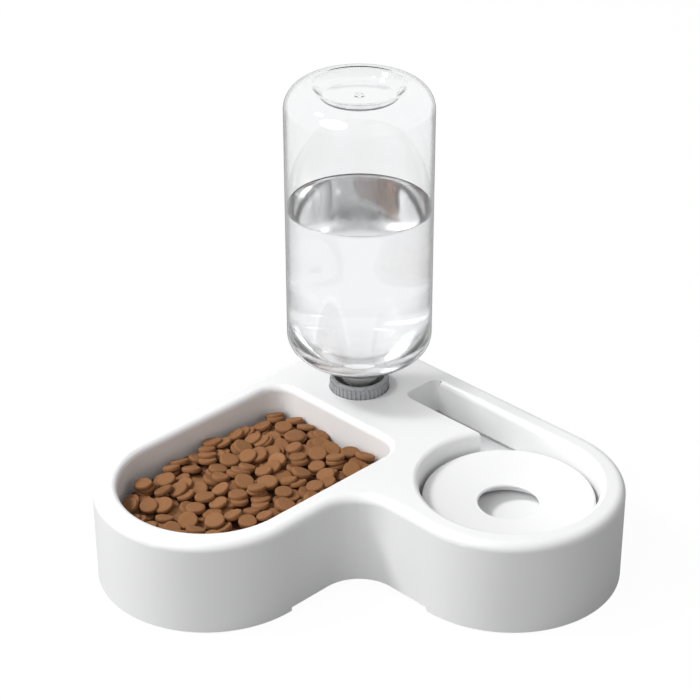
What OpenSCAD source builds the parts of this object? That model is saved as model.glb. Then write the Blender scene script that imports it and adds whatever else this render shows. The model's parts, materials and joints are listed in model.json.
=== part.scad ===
// Two-arm pet feeder: a food trough in one arm, a water well in the other, and an
// upturned water bottle on the deck between them. The arms meet at a right angle.
// Heights are measured from the floor. The middle of the footprint is the origin,
// the bottle stands at the back (+Y) and the food arm is on the left (-X).

/* [Housing] */
// Distance sideways from the middle to the centre of each arm's round end
arm_x = 74.5; // [71:0.5:90]
// Radius of the arms' round ends, and half the width of each arm
arm_r = 57.5; // [56.5:0.5:62]
// Radius of the rounded corner at the back, in plan
back_r = 32; // [24:1:44]
// Radius of the hollow corner between the arms, in plan
front_r = 22; // [12:1:28]
// Height of the rim and the deck
rim_z = 52; // [50:0.5:60]
// Height of the housing's lower edge
skirt_z = 1; // [0.5:0.5:2]
// How much higher the lower edge is between the arms
arch_h = 2; // [0.5:0.5:2.5]
// Half the width of the raised stretch of lower edge
arch_half_w = 33; // [20:1:36]
// Width of the rim round the trough and the well
rim_w = 12.3; // [11.5:0.1:14]
// Wall of the white mouldings
wall = 2.4; // [1.6:0.1:2.6]
// Rounding of the rim's outer edge
rim_round = 4.5; // [3:0.5:6]
// Rounding of the rim's inner edge
lip_round = 3.5; // [2:0.5:4]
// Rounding of the deck's straight edge along the channel
deck_round = 1.2; // [0.6:0.1:1.8]

/* [Food trough] */
// Distance from where the arms' centre lines cross back to the trough's flat end
trough_back = 16; // [15:0.5:24]
// Inside corner radius of the trough, in plan and round its floor
trough_round = 12; // [8:1:16]
// Height of the trough's floor
trough_z = 14; // [12:0.5:18]

/* [Water well and tray] */
// Width of the open channel beside the deck
channel_w = 22.9; // [18:0.1:26]
// Distance from where the arms' centre lines cross back to the channel's closed end
channel_back = 11.4; // [11:0.2:24]
// Corner radius of the channel's closed end, in plan
channel_round = 4; // [2:0.5:6]
// Depth of the tray's floor below the rim
well_depth = 22.4; // [21:0.1:25]
// Gap between the tray's floor and the lower edge of the wall that dips into it
dip_gap = 3.8; // [3:0.1:6]
// Distance from the rim down to the tray's upper edge
tray_drop = 8; // [5:0.5:10]
// Wall and floor of the tray
tray_wall = 2; // [1.6:0.1:2.2]
// Clearance between the dipping wall and the tray
tray_gap = 1.3; // [0.8:0.1:1.4]
// Distance from the arm's centre line to the tray's straight inner side
tray_in = 11.5; // [10:0.5:12]
// How far the tray reaches past the bottle's axis
tray_past = 24.4; // [22:0.2:24.4]
// Radius of the pin that opens the bottle's valve
pin_r = 2; // [1.5:0.1:2.4]

/* [Float] */
// Clearance round the floating disc in the well
float_gap = 1.9; // [1:0.1:3]
// Distance from the rim down to the disc's top edge
float_drop = 9.4; // [8:0.1:12]
// How far the disc's top slopes down to its hole
float_dish = 3.7; // [2:0.1:4]
// Radius of the drinking hole
hole_r = 15.3; // [12:0.1:18]
// How much wider the hole is at the disc's underside
hole_flare = 6.5; // [4:0.1:7]
// Wall of the disc
float_wall = 1.8; // [1.4:0.1:2.2]
// Thickness of the plate that closes the disc from below
float_base_t = 2; // [1.6:0.1:2.4]
// Height of the nubs that the disc rests on
nub_h = 1.8; // [1:0.1:2]

/* [Bottle] */
// Distance from the rounded corner's centre forward to the bottle's axis
bottle_in = 18.8; // [18:0.1:22]
// Radius of the bottle
bottle_r = 38; // [34:0.5:40]
// Height of the bottle from its mouth to its top
bottle_h = 179; // [150:1:200]
// Wall of the bottle
bottle_wall = 0.9; // [0.6:0.1:1.2]
// Rounding of the bottle's upper shoulder
shoulder_r = 13; // [10:0.5:15]
// Height above the cap where the straight side ends and the lower shoulder starts
shoulder_up = 27.2; // [25:0.2:40]
// Radius of the lower shoulder's tight curve
bend_r = 12.5; // [10:0.5:16]
// Radius of the lower shoulder's wide curve
dome_r = 55; // [50:1:60]
// Angle at which the tight curve hands over to the wide one
bend_a = 50; // [45:1:55]
// Distance from the bottle's side to the dimple in its base
punt_in = 17.5; // [16:0.5:22]
// Depth of the dimple
punt_h = 5.5; // [3:0.5:7]
// Outer radius of the neck
neck_r = 13.2; // [12.8:0.1:13.4]
// Wall of the neck
neck_wall = 2.3; // [2:0.1:2.8]
// Height of the water's surface above the bottle's mouth
water_h = 114; // [65:1:150]

/* [Valve cap] */
// Wall of the cap with its ribs
cap_wall = 2.3; // [1.9:0.1:2.9]
// Depth of the cap's seat below the deck
cap_sunk = 14; // [13:0.5:15]
// Height of the cap from its seat to its upper edge
cap_h = 20.8; // [19:0.1:22]
// Number of grip ribs
rib_n = 40; // [24:1:48]
// Clearance round the cap in its socket
socket_gap = 0.3; // [0.2:0.1:0.4]
// Thickness of the washer under the bottle's mouth
washer_t = 1; // [0.8:0.1:1.4]
// Travel of the valve's plunger
valve_stroke = 3; // [2:0.1:3.4]
// Radius of the valve's stem
stem_r = 1.5; // [1.2:0.1:1.8]
// Clearance round parts that slide or turn
run_gap = 0.3; // [0.2:0.05:0.4]
// Wire thickness of the valve's spring
wire_d = 0.7; // [0.5:0.1:0.9]
// Number of coils in the valve's spring
spring_coils = 4; // [3:1:5]

/* [Bottom cover and fixings] */
// Height of the cover's underside
cover_z = 4; // [3.5:0.5:4.5]
// Thickness of the cover
cover_t = 2.4; // [2:0.1:3]
// Clearance round the cover's edge
cover_gap = 0.3; // [0.2:0.1:0.5]
// Radius of the rubber feet
foot_r = 7; // [5:0.5:8]
// Depth of the pockets that hold the feet
foot_pocket = 0.8; // [0.5:0.1:1.2]
// Shaft radius of the screws
screw_r = 1.5; // [1.25:0.05:1.6]
// Length of the screws under their heads
screw_l = 10; // [8:0.5:12]
// Radius of the screw heads
head_r = 3; // [2.6:0.1:3.2]
// Height of the screw heads
head_h = 1.8; // [1.4:0.1:2]
// Radius of the screw posts
post_r = 4.2; // [3.9:0.1:4.2]

/* [Food] */
// Radius of one piece of dry food
kibble_r = 5.6; // [4.5:0.1:6]
// Thickness of one piece of dry food
kibble_t = 3.6; // [3:0.1:4.5]
// Depth of the heap's crown below the rim
heap_drop = 14.5; // [10:0.5:20]
// Radius of the heap's gentle curve
heap_r = 230; // [180:5:300]
// Clearance between the heap and the trough
heap_gap = 0.3; // [0.1:0.1:0.5]

/* [Hidden] */
$fn = 96;

white = [0.95, 0.95, 0.94];
root2 = sqrt(2);
// Small overlap that lets cutting shapes break cleanly through a face
over = 1;
// Keeps a rounding's arc from meeting the flat rim exactly tangent
arc_lift = 0.06;

// Distance from the arms' centre line back to the rounded corner's centre and to its crest
back_c = arm_x + (arm_r - back_r) * root2;
back_y = back_c + back_r;
// Distance from the arms' centre line forward to the hollow corner's centre
front_c = arm_x - (arm_r + front_r) * root2;
// The arms' centre line, placed so that the footprint is centred
arm_y = (arm_r - back_y) / 2;
// Where the centre lines cross, along an arm from the centre of its round end
cross_l = arm_x * root2;
// Lengths of the straight outer and inner sides of an arm
outer_l = cross_l + arm_r - back_r;
inner_l = cross_l - arm_r - front_r;
// Width of the strip that carries the rim's outer rounding, and its overlap with the rest
edge_w = 10;
edge_lap = 2;

// Half the width of the trough, and radius of the well
well_r = arm_r - rim_w;
trough_l = cross_l - trough_back;
trough_bend_z = trough_z + trough_round;
trough_bend_y = well_r - trough_round;
trough_bend_x = trough_l - trough_round;

bottle_back = back_c - bottle_in;
bottle_y = arm_y + bottle_back;
// The bottle's axis seen from the well's centre, along the arm and across it
bottle_u = (arm_x + bottle_back) / root2;
bottle_v = (bottle_back - arm_x) / root2;

// Distance from the arm's centre line to the deck's straight edge, and the channel's length
channel_in = well_r - channel_w;
channel_l = cross_l - channel_back;
tray_z = rim_z - well_depth;
tray_top = rim_z - tray_drop;
tray_l = bottle_u + tray_past;
dip_z = tray_z + dip_gap;
// Radii of the dipping wall and of the tray round the well
dip_r = well_r + wall;
tray_r = dip_r + tray_gap + tray_wall;
tray_end_round = 12;

neck_bore = neck_r - neck_wall;
cap_bore = neck_r + run_gap;
cap_r = cap_bore + cap_wall;
cap_seat = rim_z - cap_sunk;
cap_top = cap_seat + cap_h;
// Radius of the cap between its ribs
rib_out = 0.6;
rib_r = 0.7;
rib_margin = 1;
cap_body_r = cap_r - rib_out;
// The cap's floor stands over its skirt, and its nozzle reaches down into the tray
cap_skirt_h = 3.6;
cap_floor_t = 2.4;
cap_floor_z = cap_seat + cap_skirt_h;
cap_inside_z = cap_floor_z + cap_floor_t;
nozzle_drop = 4;
nozzle_z = cap_seat - nozzle_drop;
nozzle_in = 2.9;
nozzle_r = neck_bore - nozzle_in;
nozzle_wall = 2.5;
nozzle_bore = nozzle_r - nozzle_wall;
socket_r = cap_r + socket_gap;
socket_wall = 2.2;
ledge_t = 2.4;
ledge_room = 3;
ledge_bore = nozzle_r + ledge_room;
mouth_z = cap_inside_z + washer_t;
bottle_top = mouth_z + bottle_h;
shoulder_z = cap_top + shoulder_up;
water_z = mouth_z + water_h;
punt_r = bottle_r - punt_in;

// Valve parts, drawn with the valve held open by the pin
seal_t = 1.2;
plunger_head_t = 2;
plunger_in = 4.7;
plunger_head_r = neck_bore - plunger_in;
port_land = 2;
port_r = plunger_head_r - port_land;
seal_z = cap_inside_z + valve_stroke;
head_z = seal_z + seal_t;
stem_tip = 0.5;
stem_low = nozzle_z + stem_tip + valve_stroke;
cage_ring_t = 1.5;
cage_room = 0.9;
cage_r = neck_bore - cage_room;
cage_top_t = 1.6;
cage_post = 1.6;
cage_bore = plunger_head_r + 0.8;
cage_post_x = cage_bore + 0.4;
spring_in = 2.6;
spring_r = plunger_head_r - spring_in;
spring_l = 6.6;
spring_low = head_z + plunger_head_t;
spring_high = spring_low + spring_l;
cage_top = spring_high + cage_top_t;
stem_high = cage_top + valve_stroke + stem_tip;
water_over = 1;
water_low = stem_high + water_over;
water_gap = 0.05;

float_r = well_r - float_gap;
float_top = rim_z - float_drop;
float_low = tray_z + nub_h;
float_shell_z = float_low + float_base_t;
hole_z = float_top - float_dish;
hole_foot_r = hole_r + hole_flare;
float_round = 1.8;
hole_round = 1;

// Screws and feet, as [along the arm, across it] from the centre of an arm's round end
rim_mid = (well_r + wall + arm_r - wall) / 2;
post_inner = 10.8;
trough_posts = [[-rim_mid, 0], [trough_l / 2, rim_mid], [inner_l - post_inner, -rim_mid]];
front_in = 12.9;
front_post = [4, front_c + front_r + front_in];
back_in = 8.5;
back_post = [0, back_y - back_in];
well_post = [well_r - 19.2, well_r - 23.2];
channel_post = [17.6, 12.9];
tray_posts = [
    [-well_post[0], -well_post[1]], [-well_post[0], well_post[1]], [cross_l - 43.4, 0],
    [bottle_u - channel_post[0], tray_r - channel_post[1]]
];
foot_in = 22;
end_foot = [-(arm_r - foot_in), 0];
inner_foot = [inner_l + foot_r, -(arm_r - foot_in)];
back_foot = [0, back_c + foot_r];
post_hole_h = screw_l + 2;
hole_fit = 0.02;
cover_hole_gap = 0.25;

// Moves shapes from the end of the left or right arm to their place in the object
module left_arm() {
    translate([-arm_x, arm_y, 0]) rotate(45) children();
}

module right_arm() {
    mirror([1, 0, 0]) left_arm() children();
}

module both_arms() {
    left_arm() children();
    right_arm() children();
}

module at_bottle() {
    translate([0, bottle_y, 0]) children();
}

// Keeps what lies left of the middle
module left_half() {
    reach = arm_x + arm_r + over;
    intersection() {
        children();
        translate([-reach, -reach, 0]) cube([reach, 2 * reach, rim_z + over]);
    }
}

// Outline of the base's left half in plan, moved inwards by a distance
module half_plan(inset) {
    half = arm_r - inset;
    web = front_r + inset;
    reach = arm_x + arm_r + over;
    intersection() {
        left_arm() difference() {
            union() {
                circle(half);
                translate([0, -half]) square([outer_l, 2 * half]);
                translate([outer_l, arm_r - back_r]) circle(back_r - inset);
                translate([inner_l, -arm_r - front_r]) square([web, web + over]);
            }
            translate([inner_l, -arm_r - front_r]) circle(web);
        }
        translate([-reach, -reach]) square([reach, 2 * reach]);
    }
}

// Outline of the whole base in plan, moved inwards by a distance
module plan(inset) {
    half_plan(inset);
    mirror([1, 0]) half_plan(inset);
}

// Section of the base's outer edge, whose rounded side lies at x = 0
module edge_section() {
    translate([rim_round, skirt_z]) square([edge_w - rim_round, rim_z - skirt_z]);
    translate([0, skirt_z]) square([rim_round + 1, rim_z - rim_round - skirt_z]);
    translate([rim_round, rim_z - rim_round]) circle(rim_round);
}

// A straight stretch of outer edge along +X, with its rounded side at y = 0
module edge_run(length) {
    translate([length, 0, 0]) rotate([90, 0, -90]) linear_extrude(length) edge_section();
}

// The left half of the outer edge, cut off at the middle
module left_edge() {
    left_half() left_arm() {
        translate([0, -arm_r, 0]) mirror([0, 1, 0]) edge_run(inner_l);
        translate([0, arm_r, 0]) edge_run(outer_l);
        rotate(90) rotate_extrude(angle = 180) translate([arm_r, 0]) mirror([1, 0]) edge_section();
        translate([outer_l, arm_r - back_r, 0])
            rotate_extrude(angle = 90) translate([back_r, 0]) mirror([1, 0]) edge_section();
        translate([inner_l, -arm_r - front_r, 0])
            rotate_extrude(angle = 90) translate([front_r, 0]) edge_section();
    }
}

module outer_body() {
    translate([0, 0, skirt_z]) linear_extrude(rim_z - skirt_z) plan(edge_w - edge_lap);
    left_edge();
    mirror([1, 0, 0]) left_edge();
}

// Section of a cavity's wall and its rounded lip, measured outwards from an inset line
module lip_section(inset, low, lip) {
    translate([0, low]) square([inset, rim_z + over - low]);
    difference() {
        translate([inset, rim_z - lip]) square([lip, lip + over]);
        translate([inset + lip, rim_z - lip + arc_lift]) circle(lip);
    }
}

// The trough, moved outwards by a distance, up to a height
module trough(grow, top) {
    end_r = well_r + grow;
    curve_r = trough_round + grow;
    translate([0, 0, trough_bend_z]) linear_extrude(top - trough_bend_z) {
        circle(end_r);
        translate([0, -end_r]) square([trough_bend_x, 2 * end_r]);
        translate([0, -trough_bend_y]) square([trough_l + grow, 2 * trough_bend_y]);
        for (side = [-1, 1]) translate([trough_bend_x, side * trough_bend_y]) circle(curve_r);
    }
    translate([0, 0, trough_z - grow]) linear_extrude(curve_r) {
        circle(trough_bend_y);
        translate([0, -trough_bend_y]) square([trough_bend_x, 2 * trough_bend_y]);
    }
    translate([0, 0, trough_bend_z]) {
        rotate(90) rotate_extrude(angle = 180) translate([trough_bend_y, 0]) circle(curve_r);
        for (side = [-1, 1]) translate([0, side * trough_bend_y, 0]) {
            rotate([0, 90, 0]) cylinder(r = curve_r, h = trough_bend_x);
            translate([trough_bend_x, 0, 0]) sphere(curve_r);
        }
        translate([trough_bend_x, -trough_bend_y, 0]) rotate([-90, 0, 0])
            cylinder(r = curve_r, h = 2 * trough_bend_y);
    }
}

// Widens the trough's opening to its rounded lip
module trough_lip() {
    low = trough_bend_z + over;
    rotate(90) rotate_extrude(angle = 180) lip_section(well_r, low, lip_round);
    for (side = [0, 1]) mirror([0, side, 0]) {
        translate([trough_bend_x, 0, 0]) rotate([90, 0, -90]) mirror([1, 0, 0])
            linear_extrude(trough_bend_x) lip_section(well_r, low, lip_round);
        translate([trough_bend_x, trough_bend_y, 0])
            rotate_extrude(angle = 90) lip_section(trough_round, low, lip_round);
        translate([trough_bend_x, trough_bend_y, 0]) rotate([90, 0, 0])
            linear_extrude(trough_bend_y) lip_section(trough_round, low, lip_round);
    }
}

// Outline of the channel beside the deck, moved outwards by a distance
module channel_plan(grow) {
    round_r = channel_round + grow;
    end_x = channel_l - channel_round;
    translate([0, channel_in - grow]) square([end_x, well_r - channel_in + 2 * grow]);
    translate([0, channel_in + channel_round])
        square([channel_l + grow, well_r - channel_in - 2 * channel_round]);
    for (y = [channel_in + channel_round, well_r - channel_round]) translate([end_x, y]) circle(round_r);
}

// The opening of the well and the channel, with rounded edges
module well_cut() {
    translate([0, 0, dip_z - over]) {
        cylinder(r = well_r, h = rim_z - dip_z + 2 * over);
        linear_extrude(rim_z - dip_z + 2 * over) channel_plan(0);
    }
    rotate_extrude() lip_section(well_r, rim_z - 2 * lip_round, lip_round);
    end_x = channel_l - channel_round;
    translate([end_x, 0, 0]) rotate([90, 0, -90]) mirror([1, 0, 0])
        linear_extrude(end_x) intersection() {
            lip_section(well_r, rim_z - 2 * lip_round, lip_round);
            translate([channel_in + 2 * deck_round, 0]) square([well_r, 2 * rim_z]);
        }
    translate([0, channel_in, 0]) rotate([90, 0, 90]) mirror([1, 0, 0])
        linear_extrude(end_x) lip_section(0.01, rim_z - deck_round, deck_round);
}

module dip_wall() {
    translate([0, 0, dip_z]) linear_extrude(rim_z - wall / 2 - dip_z) {
        circle(dip_r);
        channel_plan(wall);
    }
}

// The screw posts that hang inside the base
module housing_posts(r, low, height) {
    left_arm() for (place = trough_posts) translate([place[0], place[1], low]) cylinder(r = r, h = height);
    for (place = [front_post, back_post])
        translate([place[0], arm_y + place[1], low]) cylinder(r = r, h = height);
}

module housing() {
    post_z = cover_z + cover_t;
    color(white) difference() {
        union() {
            difference() {
                outer_body();
                linear_extrude(rim_z - wall) plan(wall);
            }
            left_arm() trough(wall, rim_z - wall / 2);
            right_arm() dip_wall();
            at_bottle() translate([0, 0, cap_seat - ledge_t])
                cylinder(r = socket_r + socket_wall, h = rim_z - wall / 2 - cap_seat + ledge_t);
            housing_posts(post_r, post_z, rim_z - wall / 2 - post_z);
        }
        left_arm() {
            trough(0, rim_z + over);
            trough_lip();
        }
        right_arm() well_cut();
        at_bottle() {
            translate([0, 0, cap_seat]) cylinder(r = socket_r, h = rim_z);
            translate([0, 0, cap_seat - ledge_t - over]) cylinder(r = ledge_bore, h = rim_z);
        }
        housing_posts(screw_r + hole_fit, 0, cover_z + post_hole_h);
        translate([-arch_half_w, arm_y - arm_r, 0]) cube([2 * arch_half_w, arm_r, skirt_z + arch_h]);
    }
}

// Outline of the tray, moved inwards by a distance
module tray_plan(inset) {
    r = tray_r - inset;
    end_r = tray_end_round - inset;
    end_x = tray_l - tray_end_round;
    circle(r);
    translate([0, -tray_in + inset]) square([end_x, tray_in + tray_r - 2 * inset]);
    translate([0, -tray_in + tray_end_round])
        square([tray_l - inset, tray_in + tray_r - 2 * tray_end_round]);
    for (y = [-tray_in + tray_end_round, tray_r - tray_end_round]) translate([end_x, y]) circle(end_r);
}

module tray_posts_at(r, low, height) {
    right_arm() for (place = tray_posts) translate([place[0], place[1], low]) cylinder(r = r, h = height);
}

module water_tray() {
    under = tray_z - tray_wall;
    post_z = cover_z + cover_t;
    color(white) difference() {
        union() {
            right_arm() translate([0, 0, under]) linear_extrude(tray_top - under) tray_plan(0);
            tray_posts_at(post_r, post_z, under - post_z + tray_wall / 2);
        }
        right_arm() difference() {
            translate([0, 0, tray_z]) linear_extrude(tray_top) tray_plan(tray_wall);
            translate([bottle_u, bottle_v, 0]) cylinder(r = pin_r, h = stem_low);
        }
        tray_posts_at(screw_r + hole_fit, 0, cover_z + post_hole_h);
    }
}

module bottom_cover() {
    color(white) difference() {
        translate([0, 0, cover_z]) linear_extrude(cover_t) plan(wall + cover_gap);
        housing_posts(screw_r + cover_hole_gap, 0, rim_z);
        tray_posts_at(screw_r + cover_hole_gap, 0, rim_z);
        foot_places() translate([0, 0, cover_z - over]) cylinder(r = foot_r, h = foot_pocket + over);
    }
}

module foot_places() {
    both_arms() {
        translate(end_foot) children();
        translate(inner_foot) children();
    }
    translate([back_foot[0], arm_y + back_foot[1]]) children();
}

module foot() {
    color([0.55, 0.55, 0.56]) cylinder(r = foot_r, h = cover_z + foot_pocket);
}

// Pan-head screw that points up, with its head's upper side at the cover's underside
module screw() {
    slot = 0.7;
    slot_l = head_r + 0.8;
    color([0.75, 0.76, 0.78]) translate([0, 0, cover_z]) {
        cylinder(r = screw_r, h = screw_l);
        difference() {
            translate([0, 0, -head_h]) cylinder(r = head_r, h = head_h);
            translate([0, 0, -head_h]) for (turn = [0, 90]) rotate(turn)
                cube([slot_l, slot, 2 * slot], center = true);
        }
    }
}

module cover_screws() {
    left_arm() for (place = trough_posts) translate(place) screw();
    for (place = [front_post, back_post]) translate([place[0], arm_y + place[1]]) screw();
}

module tray_screws() {
    right_arm() for (place = tray_posts) translate(place) screw();
}

// The hole's wall leans outwards as it goes down, so that water wells up under it
module float_disc() {
    shell_r = float_r - float_wall;
    edge_x = float_r - float_round;
    crown_x = hole_r + hole_round;
    wall_h = hole_z - hole_round - float_shell_z;
    wall_across = float_wall * norm([hole_flare, wall_h]) / wall_h;
    ceiling_z = hole_z - float_wall;
    ceiling_x = hole_foot_r + wall_across - hole_flare * (ceiling_z - float_shell_z) / wall_h;
    color(white) right_arm() rotate_extrude() difference() {
        union() {
            polygon([
                [hole_foot_r, float_shell_z], [float_r, float_shell_z], [float_r, float_top - float_round],
                [edge_x, float_top], [crown_x, hole_z], [hole_r, hole_z - hole_round]
            ]);
            translate([edge_x, float_top - float_round]) circle(float_round);
            translate([crown_x, hole_z - hole_round + arc_lift]) circle(hole_round);
        }
        polygon([
            [hole_foot_r + wall_across, float_shell_z - over], [shell_r, float_shell_z - over],
            [shell_r, float_top - float_round - float_wall / 2], [ceiling_x, ceiling_z],
            [hole_foot_r + wall_across, float_shell_z]
        ]);
    }
}

// Plate under the disc, with a ring that centres it and the nubs that it stands on
module float_base() {
    rib_gap = 0.1;
    rib_t = 1.2;
    rib_h = 2;
    nub_r = 3;
    nub_in = 8;
    color(white) right_arm() {
        translate([0, 0, float_low]) rotate_extrude() {
            translate([hole_foot_r, 0]) square([float_r - hole_foot_r, float_base_t]);
            translate([float_r - float_wall - rib_gap - rib_t, 0]) square([rib_t, float_base_t + rib_h]);
        }
        for (turn = [60, 180, 300]) rotate(turn) translate([float_r - nub_in, 0, tray_z])
            cylinder(r = nub_r, h = nub_h + float_base_t / 2);
    }
}

module valve_cap() {
    lip = 1;
    color([0.75, 0.77, 0.78]) at_bottle() difference() {
        union() {
            rotate_extrude() {
                translate([0, cap_seat]) square([cap_body_r, cap_h - lip]);
                translate([0, cap_seat]) square([cap_body_r - lip, cap_h]);
                translate([cap_body_r - lip, cap_top - lip]) circle(lip);
            }
            translate([0, 0, nozzle_z]) cylinder(r = nozzle_r, h = cap_floor_z - nozzle_z);
            for (i = [0:rib_n - 1]) rotate(i * 360 / rib_n)
                translate([cap_r - rib_r, 0, cap_seat + rib_margin])
                    cylinder(r = rib_r, h = cap_h - lip - 2 * rib_margin, $fn = 24);
        }
        translate([0, 0, cap_inside_z]) cylinder(r = cap_bore, h = cap_h);
        translate([0, 0, cap_seat - over]) difference() {
            cylinder(r = cap_bore, h = cap_floor_z - cap_seat + over);
            cylinder(r = nozzle_r, h = cap_h);
        }
        translate([0, 0, nozzle_z - over]) cylinder(r = nozzle_bore, h = cap_floor_z - nozzle_z + over);
        translate([0, 0, nozzle_z]) cylinder(r = port_r, h = cap_h);
    }
}

module cap_washer() {
    color([0.85, 0.85, 0.83]) at_bottle() translate([0, 0, cap_inside_z]) difference() {
        cylinder(r = neck_r, h = washer_t);
        translate([0, 0, -over]) cylinder(r = neck_bore, h = washer_t + 2 * over);
    }
}

// Cage that guides the plunger's stem and backs its spring
module valve_cage() {
    color([0.9, 0.9, 0.88]) at_bottle() {
        translate([0, 0, cap_inside_z]) difference() {
            cylinder(r = cage_r, h = cage_ring_t);
            translate([0, 0, -over]) cylinder(r = cage_bore, h = cage_ring_t + 2 * over);
        }
        for (turn = [0, 120, 240]) rotate(turn) translate([cage_post_x, -cage_post / 2, cap_inside_z])
            cube([cage_post, cage_post, cage_top - cap_inside_z]);
        translate([0, 0, cage_top - cage_top_t]) difference() {
            cylinder(r = cage_post_x + cage_post / 2, h = cage_top_t);
            translate([0, 0, -over]) cylinder(r = stem_r + run_gap, h = cage_top_t + 2 * over);
        }
    }
}

module valve_plunger() {
    color([0.9, 0.9, 0.88]) at_bottle() {
        translate([0, 0, stem_low]) cylinder(r = stem_r, h = stem_high - stem_low);
        translate([0, 0, head_z]) cylinder(r = plunger_head_r, h = plunger_head_t);
    }
}

module plunger_seal() {
    color([0.3, 0.3, 0.32]) at_bottle() translate([0, 0, seal_z]) difference() {
        cylinder(r = plunger_head_r, h = seal_t);
        translate([0, 0, -over]) cylinder(r = stem_r, h = seal_t + 2 * over);
    }
}

// Points of the spring's wire: rings of sides round a helix
function helix_ring(turn, low, high, mean_r, wire, sides) = [
    for (k = [0:sides - 1]) let (
        bulge = wire * cos(360 * k / sides),
        r = mean_r + bulge
    ) [
        r * cos(turn * 360),
        r * sin(turn * 360),
        low + wire + (high - low - 2 * wire) * turn / spring_coils + wire * sin(360 * k / sides)
    ]
];

module valve_spring() {
    sides = 8;
    steps = 16 * spring_coils;
    end_gap = 0.05;
    points = [for (i = [0:steps]) each helix_ring(i * spring_coils / steps, spring_low + end_gap,
        spring_high - end_gap, spring_r, wire_d / 2, sides)];
    sheath = [for (i = [0:steps - 1], k = [0:sides - 1]) [
        i * sides + k, i * sides + (k + 1) % sides,
        (i + 1) * sides + (k + 1) % sides, (i + 1) * sides + k
    ]];
    first_end = [for (k = [sides - 1:-1:0]) k];
    last_end = [for (k = [0:sides - 1]) steps * sides + k];
    color([0.8, 0.8, 0.82]) at_bottle()
        polyhedron(points, concat(sheath, [first_end, last_end]));
}

// Half-section of the bottle's body and neck, moved inwards by a distance
module bottle_section(inset, low, high) {
    bend_x = bottle_r - bend_r;
    hand_z = shoulder_z - bend_r * sin(bend_a);
    dome_x = bend_x - (dome_r - bend_r) * cos(bend_a);
    dome_z = shoulder_z + (dome_r - bend_r) * sin(bend_a);
    inner_hand_z = shoulder_z - (bend_r - inset) * sin(bend_a);
    inner_hand_x = bend_x + (bend_r - inset) * cos(bend_a);
    ring_x = bottle_r - shoulder_r;
    ring_z = bottle_top - shoulder_r;
    intersection() {
        union() {
            translate([0, shoulder_z]) square([bottle_r - inset, ring_z - shoulder_z]);
            translate([0, ring_z - 1]) square([ring_x, shoulder_r + 1 - inset]);
            translate([ring_x, ring_z]) circle(shoulder_r - inset);
            translate([0, hand_z]) square([bend_x, shoulder_z - hand_z + over]);
            translate([bend_x, shoulder_z]) circle(bend_r - inset);
            intersection() {
                translate([dome_x, dome_z]) circle(dome_r - inset, $fn = 240);
                square([inner_hand_x, inner_hand_z]);
            }
        }
        translate([0, low]) square([2 * bottle_r, high - low]);
    }
}

// The dimple in the bottle's base, moved outwards by a distance
module punt_section(grow) {
    foot_w = 4;
    translate([0, bottle_top - punt_h - grow]) square([punt_r + grow, punt_h + grow + over]);
    difference() {
        translate([0, bottle_top - foot_w]) square([punt_r + foot_w, foot_w + over]);
        translate([punt_r + foot_w, bottle_top - foot_w + arc_lift]) circle(foot_w - grow);
    }
}

module bottle() {
    gate_r = 1.2;
    color([0.9, 0.93, 0.95, 0.3]) at_bottle() {
        rotate_extrude() difference() {
            union() {
                bottle_section(0, shoulder_z - dome_r, bottle_top);
                translate([0, mouth_z]) square([neck_r, shoulder_z - mouth_z]);
            }
            difference() {
                bottle_section(bottle_wall, mouth_z, bottle_top);
                punt_section(bottle_wall);
            }
            translate([0, mouth_z - over]) square([neck_bore, shoulder_z - mouth_z]);
            punt_section(0);
        }
        translate([0, 0, bottle_top - punt_h]) sphere(gate_r, $fn = 32);
    }
}

module bottle_water() {
    color([0.85, 0.93, 0.97, 0.5]) at_bottle() rotate_extrude() {
        bottle_section(bottle_wall + water_gap, shoulder_z - bend_r * 1.6, water_z);
        translate([0, water_low]) square([neck_bore - water_gap, shoulder_z - water_low]);
    }
}

// Heap of dry food: one body with a layer of round pieces lying on its crown
module kibble() {
    spacing = 1;
    sunk = 0.4;
    edge_room = 1.5;
    pitch = 2 * kibble_r + spacing;
    crown = [(trough_l - well_r) / 2, 0, rim_z - heap_drop - heap_r];
    edge = well_r - kibble_r - edge_room;
    far_x = trough_l - kibble_r - edge_room - spacing;
    lean = rands(-9, 9, 400, 7);
    color([0.62, 0.40, 0.24]) left_arm() {
        intersection() {
            trough(-heap_gap, rim_z);
            translate(crown) sphere(heap_r, $fn = 360);
        }
        for (i = [-4:9], j = [-4:4]) {
            x = i * pitch + (abs(j) % 2) * pitch / 2;
            y = j * pitch * sin(60);
            spot = (i + 4) * 9 + j + 4;
            rise = sqrt(heap_r * heap_r - pow(x - crown[0], 2) - y * y);
            if (norm([min(x, 0), y]) < edge && x < far_x)
                translate([x, y, crown[2] + rise + sunk]) rotate([lean[spot], lean[spot + 150], 0])
                    cylinder(r = kibble_r, h = kibble_t, center = true, $fn = 32);
        }
    }
}

housing();
water_tray();
bottom_cover();
cover_screws();
tray_screws();
left_arm() translate(end_foot) foot();  // foot_left_end
left_arm() translate(inner_foot) foot();  // foot_left_inner
right_arm() translate(end_foot) foot();  // foot_right_end
right_arm() translate(inner_foot) foot();  // foot_right_inner
translate([back_foot[0], arm_y + back_foot[1]]) foot();  // foot_back
float_disc();
float_base();
valve_cap();
cap_washer();
valve_cage();
valve_spring();
valve_plunger();
plunger_seal();
bottle();
bottle_water();
kibble();
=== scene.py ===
import json
import math
import random

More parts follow.
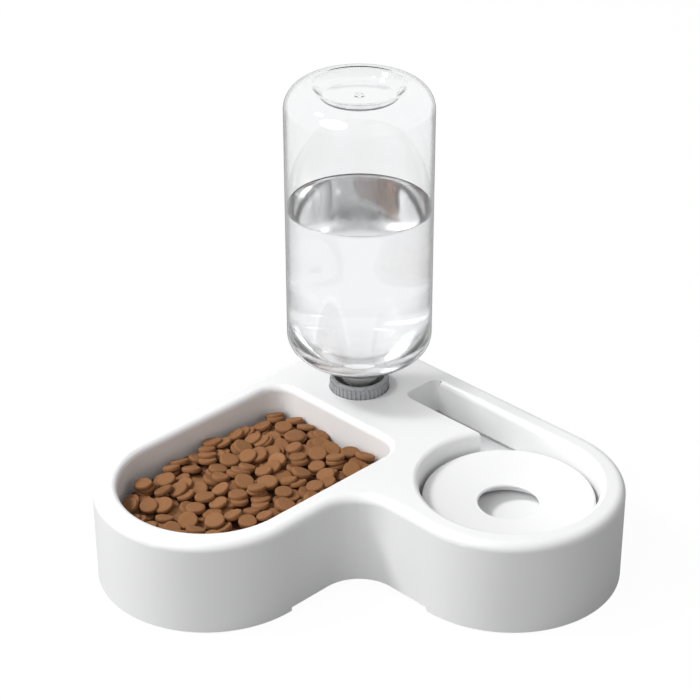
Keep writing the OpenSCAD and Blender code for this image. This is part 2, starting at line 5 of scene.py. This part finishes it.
import bpy
import numpy as np
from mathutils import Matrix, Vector


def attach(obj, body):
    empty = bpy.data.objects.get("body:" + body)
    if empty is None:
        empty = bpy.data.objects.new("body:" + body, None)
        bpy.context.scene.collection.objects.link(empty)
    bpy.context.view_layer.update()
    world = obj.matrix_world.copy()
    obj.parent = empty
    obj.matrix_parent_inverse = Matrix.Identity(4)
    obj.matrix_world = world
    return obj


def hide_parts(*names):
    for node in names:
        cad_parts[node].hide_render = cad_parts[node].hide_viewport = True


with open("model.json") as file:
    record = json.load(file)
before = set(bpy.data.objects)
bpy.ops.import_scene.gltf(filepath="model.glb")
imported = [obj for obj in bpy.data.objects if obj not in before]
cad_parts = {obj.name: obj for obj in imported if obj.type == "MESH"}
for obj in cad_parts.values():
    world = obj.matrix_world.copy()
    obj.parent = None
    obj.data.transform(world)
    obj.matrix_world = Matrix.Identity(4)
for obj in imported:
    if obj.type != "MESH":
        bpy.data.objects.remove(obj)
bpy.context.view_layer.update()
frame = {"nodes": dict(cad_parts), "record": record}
scene = bpy.context.scene
MM = 0.001
ROOT2 = math.sqrt(2)

# Driving sizes, as in the part's source, in millimetres
ARM_X, ARM_R, BACK_R, RIM_W = 74.5, 57.5, 32.0, 12.3
TROUGH_BACK, TROUGH_ROUND = 16.0, 12.0
BOTTLE_IN, BOTTLE_R, BOTTLE_H, WALL = 18.8, 38.0, 179.0, 0.9
SHOULDER_R, SHOULDER_Z, BEND_R, DOME_R = 13.0, 86.0, 12.5, 55.0
BEND_A = math.radians(50)
PUNT_IN, PUNT_H, PUNT_ROUND = 17.5, 5.5, 4.0
NECK_R, NECK_WALL, MOUTH_Z = 13.2, 2.3, 45.0
WATER_H, WATER_LOW = 114.0, 62.9

# Sizes that follow from them
BACK_C = ARM_X + (ARM_R - BACK_R) * ROOT2
ARM_Y = (ARM_R - BACK_C - BACK_R) / 2
BOTTLE_Y = ARM_Y + BACK_C - BOTTLE_IN
TOP = MOUTH_Z + BOTTLE_H
PUNT_R = BOTTLE_R - PUNT_IN
NECK_BORE = NECK_R - NECK_WALL
WATER_Z = MOUTH_Z + WATER_H
TROUGH_L = ARM_X * ROOT2 - TROUGH_BACK
TROUGH_W = ARM_R - RIM_W


# Camera at the photograph's place
LENS = 107.9
PICTURE = 700
SHIFT_PIXELS = -9
CAMERA_AT = Vector((1.0, -914.6, 621.0))
CAMERA_AIM = Vector((-0.15, 17.5, 91.5))


def place_camera():
    data = bpy.data.cameras.new("camera")
    cam = bpy.data.objects.new("camera", data)
    scene.collection.objects.link(cam)
    data.sensor_width = 36
    data.lens = LENS
    data.shift_x = SHIFT_PIXELS / PICTURE
    data.clip_start = 0.05
    data.clip_end = 50
    cam.location = CAMERA_AT * MM
    cam.rotation_euler = ((CAMERA_AIM - CAMERA_AT) * MM).to_track_quat("-Z", "Y").to_euler()
    scene.camera = cam


place_camera()


# Helpers for materials
def new_material(name, values):
    m = bpy.data.materials.new(name)
    m.use_nodes = True
    bsdf = m.node_tree.nodes["Principled BSDF"]
    for socket, value in values.items():
        bsdf.inputs[socket].default_value = value
    return m, m.node_tree.nodes, m.node_tree.links, bsdf


def coords(nodes):
    return nodes.new("ShaderNodeTexCoord").outputs["Object"]


def axes(nodes, links):
    """The three coordinates of a place on the piece."""
    split = nodes.new("ShaderNodeSeparateXYZ")
    links.new(coords(nodes), split.inputs[0])
    return split.outputs


def noise(nodes, links, co, scale, detail=3, rough=0.5):
    n = nodes.new("ShaderNodeTexNoise")
    n.inputs["Scale"].default_value = scale
    n.inputs["Detail"].default_value = detail
    n.inputs["Roughness"].default_value = rough
    links.new(co, n.inputs["Vector"])
    return n.outputs["Fac"]


def ramp(nodes, links, fac, stops):
    """Colours at places from 0 to 1, blended in between."""
    r = nodes.new("ShaderNodeValToRGB")
    while len(r.color_ramp.elements) < len(stops):
        r.color_ramp.elements.new(0.5)
    for element, (place, colour) in zip(r.color_ramp.elements, stops):
        element.position = place
        element.color = (*colour, 1)
    links.new(fac, r.inputs["Fac"])
    return r.outputs["Color"]


def span(nodes, links, fac, low, high):
    """Spreads a noise's middle range over a range of values."""
    m = nodes.new("ShaderNodeMapRange")
    m.inputs["From Min"].default_value = 0.3
    m.inputs["From Max"].default_value = 0.7
    m.inputs["To Min"].default_value = low
    m.inputs["To Max"].default_value = high
    links.new(fac, m.inputs["Value"])
    return m.outputs["Result"]


def along(nodes, links, value, stops):
    """A number that runs straight between (place, number) stops, with the places in millimetres."""
    low, high = stops[0][0], stops[-1][0]
    m = nodes.new("ShaderNodeMapRange")
    m.inputs["From Min"].default_value = low * MM
    m.inputs["From Max"].default_value = high * MM
    links.new(value, m.inputs["Value"])
    greys = [((place - low) / (high - low), (v, v, v)) for place, v in stops]
    return ramp(nodes, links, m.outputs["Result"], greys)


def math_node(nodes, links, operation, *values):
    m = nodes.new("ShaderNodeMath")
    m.operation = operation
    for k, value in enumerate(values):
        if isinstance(value, (int, float)):
            m.inputs[k].default_value = value
        else:
            links.new(value, m.inputs[k])
    return m.outputs[0]


def times(nodes, links, colour, other):
    mix = nodes.new("ShaderNodeMix")
    mix.data_type = "RGBA"
    mix.blend_type = "MULTIPLY"
    mix.inputs["Factor"].default_value = 1.0
    links.new(colour, mix.inputs["A"])
    links.new(other, mix.inputs["B"])
    return mix.outputs["Result"]


def bump(nodes, links, bsdf, height, strength, distance):
    b = nodes.new("ShaderNodeBump")
    b.inputs["Strength"].default_value = strength
    b.inputs["Distance"].default_value = distance
    links.new(height, b.inputs["Height"])
    links.new(b.outputs["Normal"], bsdf.inputs["Normal"])


# Materials
FINE_GRAIN = 0.00002


def moulded(name, light, dark, rough, grain=FINE_GRAIN):
    """Moulded plastic or rubber: faint mottling, a sheen that varies a little, and a very fine grain."""
    m, n, l, b = new_material(name, {"Specular IOR Level": 0.5})
    co = coords(n)
    l.new(ramp(n, l, noise(n, l, co, 14, 2), [(0.3, dark), (0.7, light)]), b.inputs["Base Color"])
    l.new(span(n, l, noise(n, l, co, 60, 4), *rough), b.inputs["Roughness"])
    bump(n, l, b, noise(n, l, co, 2600, 2), 0.25, grain)
    return m


def steel_material():
    m, n, l, b = new_material("plain_steel", {"Metallic": 1.0})
    co = coords(n)
    tones = [(0.3, (0.6, 0.61, 0.63)), (0.7, (0.72, 0.73, 0.75))]
    l.new(ramp(n, l, noise(n, l, co, 120, 3), tones), b.inputs["Base Color"])
    l.new(span(n, l, noise(n, l, co, 500, 3), 0.25, 0.4), b.inputs["Roughness"])
    bump(n, l, b, noise(n, l, co, 3000, 2), 0.2, FINE_GRAIN)
    return m


def cap_material():
    """Frosted grey plastic that lets a little light through."""
    m, n, l, b = new_material("cap_frosted", {"Transmission Weight": 0.1, "IOR": 1.45})
    co = coords(n)
    tones = [(0.3, (0.41, 0.415, 0.43)), (0.7, (0.46, 0.465, 0.48))]
    l.new(ramp(n, l, noise(n, l, co, 90, 3), tones), b.inputs["Base Color"])
    l.new(span(n, l, noise(n, l, co, 300, 3), 0.24, 0.34), b.inputs["Roughness"])
    bump(n, l, b, noise(n, l, co, 2400, 2), 0.12, FINE_GRAIN)
    return m


def clear_material(name, ior, tint, edge_stops, lamp_tints, painted_darkening, rough=None, lamp_shade=None):
    """Clear plastic or water, with painted dark edges: its tint turns greyer where it is seen edge-on.

    Light from the lamps, and light that a dull surface throws back, passes it straight, dimmed by a tint.
    """
    m, n, l, b = new_material(name, {"Transmission Weight": 1.0, "IOR": ior, "Roughness": 0.0})
    facing = n.new("ShaderNodeLayerWeight")
    facing.inputs["Blend"].default_value = 0.5
    mottle = span(n, l, noise(n, l, coords(n), 40, 2), -0.01, 0.01)
    turn = math_node(n, l, "ADD", facing.outputs["Facing"], mottle)
    # Painted shade: the edge stops grey the tint where the surface is seen edge-on, and the darkening passed
    # in (the neck's painted shade, the water's painted reflection) is multiplied in.
    stops = [(0.0, tint)] + [(place, [v * a for a in tint]) for place, v in edge_stops]
    l.new(times(n, l, ramp(n, l, turn, stops), painted_darkening(n, l)), b.inputs["Base Color"])
    if rough:
        l.new(rough(n, l), b.inputs["Roughness"])
    middle_tint, edge_tint = lamp_tints
    lamp_stops = [(0.0, (middle_tint,) * 3), (0.6, (edge_tint,) * 3)]
    lamp_colour = ramp(n, l, facing.outputs["Facing"], lamp_stops)
    if lamp_shade:
        lamp_colour = times(n, l, lamp_colour, lamp_shade(n, l))
    straight = n.new("ShaderNodeBsdfTransparent")
    l.new(lamp_colour, straight.inputs["Color"])
    path = n.new("ShaderNodeLightPath")
    passes = math_node(n, l, "MAXIMUM", path.outputs["Is Shadow Ray"], path.outputs["Is Diffuse Ray"])
    mixer = n.new("ShaderNodeMixShader")
    l.new(passes, mixer.inputs["Fac"])
    l.new(b.outputs[0], mixer.inputs[1])
    l.new(straight.outputs[0], mixer.inputs[2])
    l.new(mixer.outputs[0], n["Material Output"].inputs["Surface"])
    return m


def neck_painted_shade(nodes, links):
    """Painted shade: the thick, threaded neck is tinted to a quarter below 61 mm and is clear again by 64.5
    mm, standing in for the dark band that light bent in it gives.
    """
    return along(nodes, links, axes(nodes, links)[2], [(40, 0.25), (61, 0.25), (64.5, 1.0), (TOP, 1.0)])


def on_surface(nodes, links, z):
    """1 on the water's upper surface, and 0 on its sides."""
    return along(nodes, links, z, [(150, 0.0), (157.6, 0.0), (157.8, 1.0), (160, 1.0)])


def water_painted_reflection(nodes, links):
    """Painted reflection: grey streaks on the water's upper surface that stand in for the bottle's round
    back wall seen in it, darker towards the back.
    """
    x, y, z = axes(nodes, links)
    streaks = [(0, 0.30), (11, 0.34), (16, 0.7), (22, 0.95), (27, 0.5), (31, 0.22), (38, 0.16)]
    across = along(nodes, links, math_node(nodes, links, "ABSOLUTE", x), streaks)
    depth = along(nodes, links, y, [(11, 0.25), (30, 0.35), (46, 0.9), (88, 1.0)])
    grey = math_node(nodes, links, "MULTIPLY", math_node(nodes, links, "SUBTRACT", 1.0, across), depth)
    grey = math_node(nodes, links, "MULTIPLY", grey, on_surface(nodes, links, z))
    return math_node(nodes, links, "SUBTRACT", 1.0, grey)


def water_rough(nodes, links):
    """The water's upper surface blurs a little, and its sides don't."""
    return math_node(nodes, links, "MULTIPLY", on_surface(nodes, links, axes(nodes, links)[2]), 0.2)


def shoulder_dark(nodes, links):
    """The round lower shoulder bends the lamps' light away, so its shadow is darker, but not at the back."""
    x, y, z = axes(nodes, links)
    low = along(nodes, links, z, [(40, 0.38), (74, 0.42), (84, 1.0), (TOP, 1.0)])
    back = along(nodes, links, y, [(11, 0.0), (50, 0.0), (64, 1.0), (88, 1.0)])
    return math_node(nodes, links, "MAXIMUM", low, back)


def food_material():
    """Dry, crumbly food, with a tone for each piece, fine specks and pits; the darkest tone, given to the
    core below the pieces, is painted shade in the gaps between them.
    """
    m, n, l, b = new_material("dry_food", {"Specular IOR Level": 0.25})
    co = coords(n)
    tone = n.new("ShaderNodeAttribute")
    tone.attribute_name = "tone"
    speck = noise(n, l, co, 420, 4, 0.7)
    # The stop at 0 is the core's painted shade; the pieces' own tones lie around the middle.
    tones = [
        (0.0, (0.120, 0.052, 0.021)), (0.35, (0.245, 0.111, 0.045)),
        (0.7, (0.291, 0.136, 0.057)), (1.0, (0.349, 0.170, 0.075)),
    ]
    speckled = math_node(n, l, "ADD", tone.outputs["Fac"], span(n, l, speck, -0.16, 0.16))
    l.new(ramp(n, l, speckled, tones), b.inputs["Base Color"])
    l.new(span(n, l, speck, 0.75, 0.92), b.inputs["Roughness"])
    pits = n.new("ShaderNodeTexVoronoi")
    pits.inputs["Scale"].default_value = 900
    l.new(co, pits.inputs["Vector"])
    crumbs = noise(n, l, co, 1100, 4, 0.65)
    bump(n, l, b, math_node(n, l, "MULTIPLY_ADD", pits.outputs["Distance"], 0.35, crumbs), 0.55, 0.00022)
    return m


food_mat = food_material()
# The edge stops below are painted dark edges, as shares of each tint.
bottle_mat = clear_material(
    "clear_bottle", 1.5, (0.962, 0.965, 0.968), [(0.70, 1.0), (0.80, 0.55), (0.87, 0.22)],
    (0.99, 0.98), neck_painted_shade)
water_mat = clear_material(
    "water", 1.33, (0.99, 0.995, 1.0), [(0.45, 1.0), (0.72, 0.72), (0.9, 0.35)],
    (0.97, 0.9), water_painted_reflection, rough=water_rough, lamp_shade=shoulder_dark)
by_slot = {
    "white_plastic": moulded("white_moulding", (0.900, 0.902, 0.905), (0.880, 0.882, 0.886), (0.36, 0.46)),
    "float_plastic": moulded("float_moulding", (0.905, 0.905, 0.91), (0.89, 0.89, 0.895), (0.42, 0.52)),
    "valve_plastic": moulded("valve_moulding", (0.82, 0.82, 0.8), (0.78, 0.78, 0.76), (0.4, 0.5)),
    "washer_rubber": moulded("washer_rubber", (0.72, 0.72, 0.7), (0.66, 0.66, 0.64), (0.7, 0.85), 0.00005),
    "seal_rubber": moulded("seal_rubber", (0.1, 0.1, 0.11), (0.07, 0.07, 0.08), (0.6, 0.75), 0.00005),
    "foot_rubber": moulded("foot_rubber", (0.36, 0.36, 0.37), (0.3, 0.3, 0.31), (0.75, 0.9), 0.00006),
    "cap_plastic": cap_material(),
    "steel": steel_material(),
    "clear_bottle": bottle_mat,
    "water": water_mat,
    "dry_food": food_mat,
}
for row in frame["record"]["subparts"]:
    node = frame["nodes"][row["node"]]
    node.data.materials.clear()
    node.data.materials.append(by_slot[row["material_slot"]])


# Bottle and water, turned about the bottle's axis
TURN_STEPS = 160
NECK_LEVELS = (MOUTH_Z, 52.0, 58.0, 63.4)
BORE_LEVELS = (62.0, 52.0, MOUTH_Z)
OUTER_BLEND, INNER_BLEND = 2.2, 1.2
PUNT_FALL, PUNT_STEPS = 6.5, 14
NUB = [(1.7, 0), (1.2, 0.5), (0.7, 0.95), (0, 1.1)]
WATER_GAP = 0.05
EDGE_IN, EDGE_DROP = 2.6, 1.1
SURFACE_DROP = 1.12


def arc(cx, cz, r, a0, a1, n):
    steps = [a0 + (a1 - a0) * i / n for i in range(n + 1)]
    return [(cx + r * math.cos(a), cz + r * math.sin(a)) for a in steps]


def body_profile(inset, start_r, low_blend):
    """The bottle's side from its neck up to the edge of its top, moved inwards by a distance."""
    bend_x = BOTTLE_R - BEND_R
    dome_x = bend_x - (DOME_R - BEND_R) * math.cos(BEND_A)
    dome_z = SHOULDER_Z + (DOME_R - BEND_R) * math.sin(BEND_A)
    dome_r = DOME_R - inset
    start = -math.acos((start_r + low_blend - dome_x) / dome_r)
    edge_z = TOP - SHOULDER_R
    pts = arc(dome_x, dome_z, dome_r, start, -BEND_A, 28)
    pts += arc(bend_x, SHOULDER_Z, BEND_R - inset, -BEND_A, 0, 16)[1:]
    pts += [(BOTTLE_R - inset, z) for z in np.linspace(SHOULDER_Z, edge_z, 14)[1:]]
    pts += arc(BOTTLE_R - SHOULDER_R, edge_z, SHOULDER_R - inset, 0, math.pi / 2, 20)[1:]
    return pts


def punt(top):
    """From the flat rim of the base down a soft step to the dimple's floor, towards the middle."""
    pts = []
    for i in range(PUNT_STEPS + 1):
        f = i / PUNT_STEPS
        pts.append((PUNT_R + PUNT_ROUND - PUNT_FALL * f, top - PUNT_H * f * f * (3 - 2 * f)))
    edge = pts[-1][0]
    return pts + [(edge * f, top - PUNT_H) for f in (0.8, 0.6, 0.4, 0.2)]


def bottle_profile():
    """Outside from the mouth up, over the top and into the dimple with its nub, then back down inside."""
    floor = TOP - PUNT_H
    outer = [(NECK_R, z) for z in NECK_LEVELS]
    outer += body_profile(0, NECK_R, OUTER_BLEND)
    outer += punt(TOP)
    outer += [(r, floor + rise) for r, rise in NUB]
    inner = [(0, floor - WALL)]
    inner += list(reversed(punt(TOP - WALL)))
    inner += list(reversed(body_profile(WALL, NECK_BORE, INNER_BLEND)))
    inner += [(NECK_BORE, z) for z in BORE_LEVELS]
    return outer + inner


def water_profile():
    """The water from its lower end up the bottle's inside to the curved edge of its surface."""
    side_r = BOTTLE_R - WALL - WATER_GAP
    neck_r = NECK_BORE - WATER_GAP
    pts = [(0, WATER_LOW), (NECK_BORE * 0.6, WATER_LOW), (neck_r, WATER_LOW)]
    pts += [p for p in body_profile(WALL + WATER_GAP, neck_r, INNER_BLEND) if p[1] < WATER_Z - 1.5]
    pts += [(side_r, WATER_Z - 1.2), (side_r - 0.02, WATER_Z)]
    for a in (0.35, 0.75, 1.15, 1.57):
        pts.append((side_r - EDGE_IN * (1 - math.cos(a)) - 0.1, WATER_Z - EDGE_DROP * math.sin(a)))
    return pts + [(r, WATER_Z - SURFACE_DROP) for r in (30.0, 22.0, 12.0, 0)]


def lathe(name, profile, material, closed):
    """Turns a profile of (radius, height) points about the bottle's axis."""
    verts, faces, rings = [], [], []
    for r, z in profile:
        if r == 0:
            rings.append([len(verts)])
            verts.append((0, BOTTLE_Y * MM, z * MM))
            continue
        rings.append(list(range(len(verts), len(verts) + TURN_STEPS)))
        for k in range(TURN_STEPS):
            a = 2 * math.pi * k / TURN_STEPS
            verts.append((r * math.cos(a) * MM, (BOTTLE_Y + r * math.sin(a)) * MM, z * MM))
    pairs = list(zip(rings[:-1], rings[1:]))
    if closed:
        pairs.append((rings[-1], rings[0]))
    for a, b in pairs:
        for k in range(TURN_STEPS):
            j = (k + 1) % TURN_STEPS
            if len(a) == 1 and len(b) > 1:
                faces.append((a[0], b[j], b[k]))
            elif len(b) == 1 and len(a) > 1:
                faces.append((a[k], a[j], b[0]))
            elif len(a) > 1:
                faces.append((a[k], a[j], b[j], b[k]))
    return new_object(name, verts, faces, material)


def new_object(name, verts, faces, material, tones=None):
    mesh = bpy.data.meshes.new(name)
    mesh.from_pydata(verts, [], faces)
    if tones is not None:
        mesh.attributes.new("tone", "FLOAT", "POINT").data.foreach_set("value", np.array(tones, np.float32))
    mesh.materials.append(material)
    mesh.shade_smooth()
    o = bpy.data.objects.new(name, mesh)
    scene.collection.objects.link(o)
    return o


bottle = lathe("bottle_clear", bottle_profile(), bottle_mat, True)
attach(bottle, "bottle")
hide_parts("bottle")

water = lathe("water_body", water_profile(), water_mat, False)
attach(water, "bottle")
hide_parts("bottle_water")


# Dry food: flat round pieces dropped one after another into the trough, each at rest on what lies below it.
# Sizes are in millimetres, and slopes are rise over run.
STEP = 0.6
BED_DROP, CORE_DROP = 6.6, 6.5
PIECE_R, PIECE_T = (4.6, 5.5), (2.1, 2.7)
SETTLE = (0.4, 1.1)
MOST_PIECES, MOST_MISSES = 740, 420
MOST_SLIDES, SLIDE_STEP = 9, 1.8
STEEPEST, FLATTEST = 0.5, 0.2
STACK_SHARE, STACK_PITCH, STACK_SHIFT, STACK_SPARE = 0.08, 0.93, 1.3, 0.4
EDGE_ROOM = 0.3
TILT_REACH, TILT_STEPS, TILT_ROUNDS, TILT_SHRINK = 0.9, 7, 8, 0.42
rng = random.Random(41)
us = np.arange(-46.2, 91.0, STEP)
vs = np.arange(-46.2, 46.3, STEP)
U, V = np.meshgrid(us, vs, indexing="ij")


def heap_height(u, v):
    """Height that the heap reaches: wavy, lower at both ends and sides, and banked up in one far corner.

    The place is given along the arm and across it, from the centre of its round end.
    """
    z = 41.0 + 0.8 * np.sin(u * 0.11 + 0.6) * np.cos(v * 0.09 - 0.4) + 0.6 * np.sin(u * 0.05 - v * 0.13)
    z = z - 1.5 * ((u - 35) / 50) ** 2
    z = z + 2.0 * np.clip((u - 55) / 25, 0, 1) * np.clip((-v - 4) / 26, 0, 1)
    return z - 1.2 * np.clip((np.abs(v) - 30) / 15, 0, 1)


def wall_room(u, v):
    """Distance from a place to the trough's wall in plan."""
    if u < 0:
        return TROUGH_W - math.hypot(u, v)
    bend_u, bend_v = TROUGH_L - TROUGH_ROUND, TROUGH_W - TROUGH_ROUND
    if u > bend_u and abs(v) > bend_v:
        return TROUGH_ROUND - math.hypot(u - bend_u, abs(v) - bend_v)
    return min(TROUGH_W - abs(v), TROUGH_L - u)


def to_world(u, v, z):
    """A place in the food arm's own frame, in metres in the object's frame."""
    return ((-ARM_X + (u - v) / ROOT2) * MM, (ARM_Y + (u + v) / ROOT2) * MM, z * MM)


def rest_plane(surface, u, v, r):
    """The plane on which a flat disc centred here comes to rest, as (slope along u, along v, height)."""
    i0, i1 = int((u - r - us[0]) / STEP), int((u + r - us[0]) / STEP) + 2
    j0, j1 = int((v - r - vs[0]) / STEP), int((v + r - vs[0]) / STEP) + 2
    i0, j0 = max(i0, 0), max(j0, 0)
    x, y, h = U[i0:i1, j0:j1] - u, V[i0:i1, j0:j1] - v, surface[i0:i1, j0:j1]
    inside = x * x + y * y <= r * r
    x, y, h = x[inside], y[inside], h[inside]
    a = b = 0.0
    reach = TILT_REACH
    for _ in range(TILT_ROUNDS):
        grid = np.linspace(-reach, reach, TILT_STEPS)
        aa, bb = np.meshgrid(a + grid, b + grid, indexing="ij")
        aa, bb = aa.ravel(), bb.ravel()
        lift = (h[None, :] - aa[:, None] * x[None, :] - bb[:, None] * y[None, :]).max(1)
        k = int(lift.argmin())
        a, b, c = aa[k], bb[k], lift[k]
        reach *= TILT_SHRINK
    return a, b, c


def find_rest(surface, u, v, r, height, spare):
    """Lets a piece, or a stack of a given height, slide down until it rests, or gives None.

    A stack may rise above the heap's surface by a spare height.
    """
    for _ in range(MOST_SLIDES):
        if wall_room(u, v) < r + EDGE_ROOM:
            return None
        a, b, c = rest_plane(surface, u, v, r)
        slope = math.hypot(a, b)
        if slope < STEEPEST and c + 0.5 * height < heap_height(u, v) + spare:
            return u, v, a, b, c
        if slope < FLATTEST:
            return None
        u, v = u - SLIDE_STEP * a / slope, v - SLIDE_STEP * b / slope
    return None


def lay(surface, u, v, a, b, c, r, t):
    """Raises the heap's surface by one piece that lies on its plane."""
    x, y = U - u, V - v
    under = x * x + y * y + (a * x + b * y) ** 2 <= (r + 0.05) ** 2
    over = a * x + b * y + c + t * math.sqrt(1 + a * a + b * b)
    surface[under] = np.maximum(surface, over)[under]


def drop_food():
    """All pieces, each as (u, v, slope along u, slope along v, height, radius, thickness)."""
    surface = heap_height(U, V) - BED_DROP
    pieces = []
    misses = 0
    while misses < MOST_MISSES and len(pieces) < MOST_PIECES:
        r = rng.uniform(*PIECE_R)
        t = rng.uniform(*PIECE_T)
        u, v = rng.uniform(-45, 89), rng.uniform(-45, 45)
        stack = rng.choice((2, 3, 3)) if rng.random() < STACK_SHARE else 1
        found = find_rest(surface, u, v, r, t * stack, STACK_SPARE if stack > 1 else 0)
        if found is None:
            misses += 1
            continue
        misses = 0
        u, v, a, b, c = found
        c -= rng.uniform(*SETTLE)
        for _ in range(stack):
            lay(surface, u, v, a, b, c, r, t)
            pieces.append((u, v, a, b, c, r, t))
            c += t * math.sqrt(1 + a * a + b * b) * STACK_PITCH
            u += rng.uniform(-STACK_SHIFT, STACK_SHIFT)
            v += rng.uniform(-STACK_SHIFT, STACK_SHIFT)
            if wall_room(u, v) < r + EDGE_ROOM:
                break
    return pieces


# A piece's half section, from the middle of its lower side to that of its upper side,
# as shares of its radius and its thickness
PIECE_STEPS = 22
SECTION = [
    (0.0, -0.5), (0.93, -0.5), (1.0, -0.25), (1.0, 0.18),
    (0.975, 0.4), (0.90, 0.5), (0.75, 0.515), (0.0, 0.5),
]


def add_piece(verts, faces, tones, piece):
    """One round piece, a little out of round and of even thickness, with its edges softened."""
    u, v, a, b, c, r, t = piece
    up = Vector((-a, -b, 1)).normalized()
    ex = Vector((1, 0, a)).normalized()
    ey = up.cross(ex)
    centre = Vector((u, v, c)) + up * (t / 2)
    p2, p3, p5 = (rng.uniform(0, 6.28) for _ in range(3))
    w2, w3 = rng.uniform(0.0, 0.03), rng.uniform(0.0, 0.02)
    tone = min(1.0, max(0.0, rng.gauss(0.5, 0.09)))
    tip = rng.uniform(-0.06, 0.06)
    start = len(verts)
    for share_r, share_z in SECTION:
        for k in range(PIECE_STEPS if share_r else 1):
            phi = 2 * math.pi * k / PIECE_STEPS
            wave = w2 * math.cos(2 * phi + p2) + w3 * math.cos(3 * phi + p3) + 0.01 * math.cos(5 * phi + p5)
            rr = r * share_r * (1 + wave - 0.04)
            swell = 1 + 0.05 * math.cos(2 * phi + p3) * share_r
            zz = t * share_z * swell + tip * share_r * math.cos(phi + p2)
            q = centre + ex * (rr * math.cos(phi)) + ey * (rr * math.sin(phi)) + up * zz
            verts.append(to_world(*q))
            tones.append(tone)
    first = start + 1
    bands = len(SECTION) - 3
    last = first + bands * PIECE_STEPS
    for k in range(PIECE_STEPS):
        j = (k + 1) % PIECE_STEPS
        faces.append((start, first + j, first + k))
        for m in range(bands):
            low, high = first + m * PIECE_STEPS, first + (m + 1) * PIECE_STEPS
            faces.append((low + k, low + j, high + j, high + k))
        faces.append((last + k, last + j, last + PIECE_STEPS))


def food_pieces():
    verts, faces, tones = [], [], []
    pieces = drop_food()
    print("food pieces", len(pieces))
    for piece in pieces:
        add_piece(verts, faces, tones, piece)
    return new_object("food_pieces", verts, faces, food_mat, tones)


CORE_STEP = 3.0
CORE_LOW = 26.2


def food_core():
    """The heap's inside, a closed block with a rough top below the loose pieces, in the food's darkest tone
    as painted shade where it shows between them.
    """
    verts, faces, index = [], [], {}
    for i, u in enumerate(np.arange(-44, 89, CORE_STEP)):
        for j, v in enumerate(np.arange(-43.5, 44, CORE_STEP)):
            if wall_room(u, v) > 0.6:
                index[i, j] = len(verts)
                z = float(heap_height(u, v)) - CORE_DROP + rng.uniform(-0.4, 0.0)
                verts.append(to_world(u, v, z))
    count = len(verts)
    verts += [(x, y, CORE_LOW * MM) for x, y, z in verts]
    sides = []
    for i, j in index:
        quad = [index.get(p) for p in ((i, j), (i + 1, j), (i + 1, j + 1), (i, j + 1))]
        if None not in quad:
            faces.append(tuple(quad))
            faces.append(tuple(q + count for q in reversed(quad)))
            sides += zip(quad, quad[1:] + quad[:1])
    shared = set(sides)
    for a, b in sides:
        if (b, a) not in shared:
            faces.append((b, a, a + count, b + count))
    # Tone 0, the darkest food colour, is painted shade for the gaps between pieces.
    return new_object("food_core", verts, faces, food_mat, [0.0] * len(verts))


pile = food_pieces()
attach(pile, "base")
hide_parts("kibble")

core = food_core()
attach(core, "base")


# Floor, background and light
FLOOR_HALF = 6
FLOOR_GREY = (0.3, 0.3, 0.303, 1)
FLOOR_WHITE = 1.13
FLOOR_SHARE = 0.85
SOFT_LIGHT = 0.41
TARGET = Vector((0, 0, 0.06))


def background_factor(nodes, links, share, mirrored=1.0):
    """A share for rays from the camera, also where they were only mirrored or passed through something."""
    path = nodes.new("ShaderNodeLightPath").outputs
    glossy = math_node(nodes, links, "MULTIPLY", path["Is Glossy Ray"], mirrored)
    seen = math_node(nodes, links, "MAXIMUM", path["Is Camera Ray"], path["Is Transmission Ray"])
    seen = math_node(nodes, links, "MULTIPLY", math_node(nodes, links, "MAXIMUM", seen, glossy), share)
    direct = math_node(nodes, links, "LESS_THAN", path["Diffuse Depth"], 0.5)
    return math_node(nodes, links, "MULTIPLY", seen, direct)


def far_share(nodes, links):
    """How much of the floor's white a mirrored ray meets: little near the object, all of it further off."""
    length = nodes.new("ShaderNodeVectorMath")
    length.operation = "LENGTH"
    links.new(coords(nodes), length.inputs[0])
    return along(nodes, links, length.outputs["Value"], [(0, 0.15), (650, 0.15), (1300, 1.0), (2000, 1.0)])


def floor_material():
    values = {"Base Color": FLOOR_GREY, "Roughness": 0.8, "Specular IOR Level": 0.1}
    m, n, l, b = new_material("floor", values)
    white = n.new("ShaderNodeEmission")
    white.inputs["Strength"].default_value = FLOOR_WHITE
    mixer = n.new("ShaderNodeMixShader")
    l.new(background_factor(n, l, FLOOR_SHARE, far_share(n, l)), mixer.inputs["Fac"])
    l.new(b.outputs[0], mixer.inputs[1])
    l.new(white.outputs[0], mixer.inputs[2])
    l.new(mixer.outputs[0], n["Material Output"].inputs["Surface"])
    return m


def make_world():
    world = bpy.data.worlds.new("studio")
    scene.world = world
    world.use_nodes = True
    n, l = world.node_tree.nodes, world.node_tree.links
    n.clear()
    mixer = n.new("ShaderNodeMixShader")
    l.new(background_factor(n, l, 1.0), mixer.inputs["Fac"])
    for socket, strength in ((1, SOFT_LIGHT), (2, 1.0)):
        background = n.new("ShaderNodeBackground")
        background.inputs["Color"].default_value = (1, 1, 1, 1)
        background.inputs["Strength"].default_value = strength
        l.new(background.outputs[0], mixer.inputs[socket])
    l.new(mixer.outputs[0], n.new("ShaderNodeOutputWorld").inputs["Surface"])


def area_light(name, way, distance, size, power):
    """A round soft lamp at a distance, which shines onto the object along a direction."""
    data = bpy.data.lights.new(name, "AREA")
    data.shape = "DISK"
    data.size = size
    data.energy = power
    o = bpy.data.objects.new(name, data)
    scene.collection.objects.link(o)
    way = Vector(way).normalized()
    o.location = TARGET - way * distance
    o.rotation_euler = way.to_track_quat("-Z", "Y").to_euler()


corners = [(x * FLOOR_HALF, y * FLOOR_HALF, 0) for x, y in ((-1, -1), (1, -1), (1, 1), (-1, 1))]
floor = new_object("floor", corners, [(0, 1, 2, 3)], floor_material())
make_world()
area_light("key", (7.6, 0.2, -9.2), distance=1.6, size=0.34, power=16.5)
area_light("fill", (1.0, 1.05, -1.0), distance=1.8, size=1.3, power=11.5)

scene.view_settings.view_transform = "Standard"
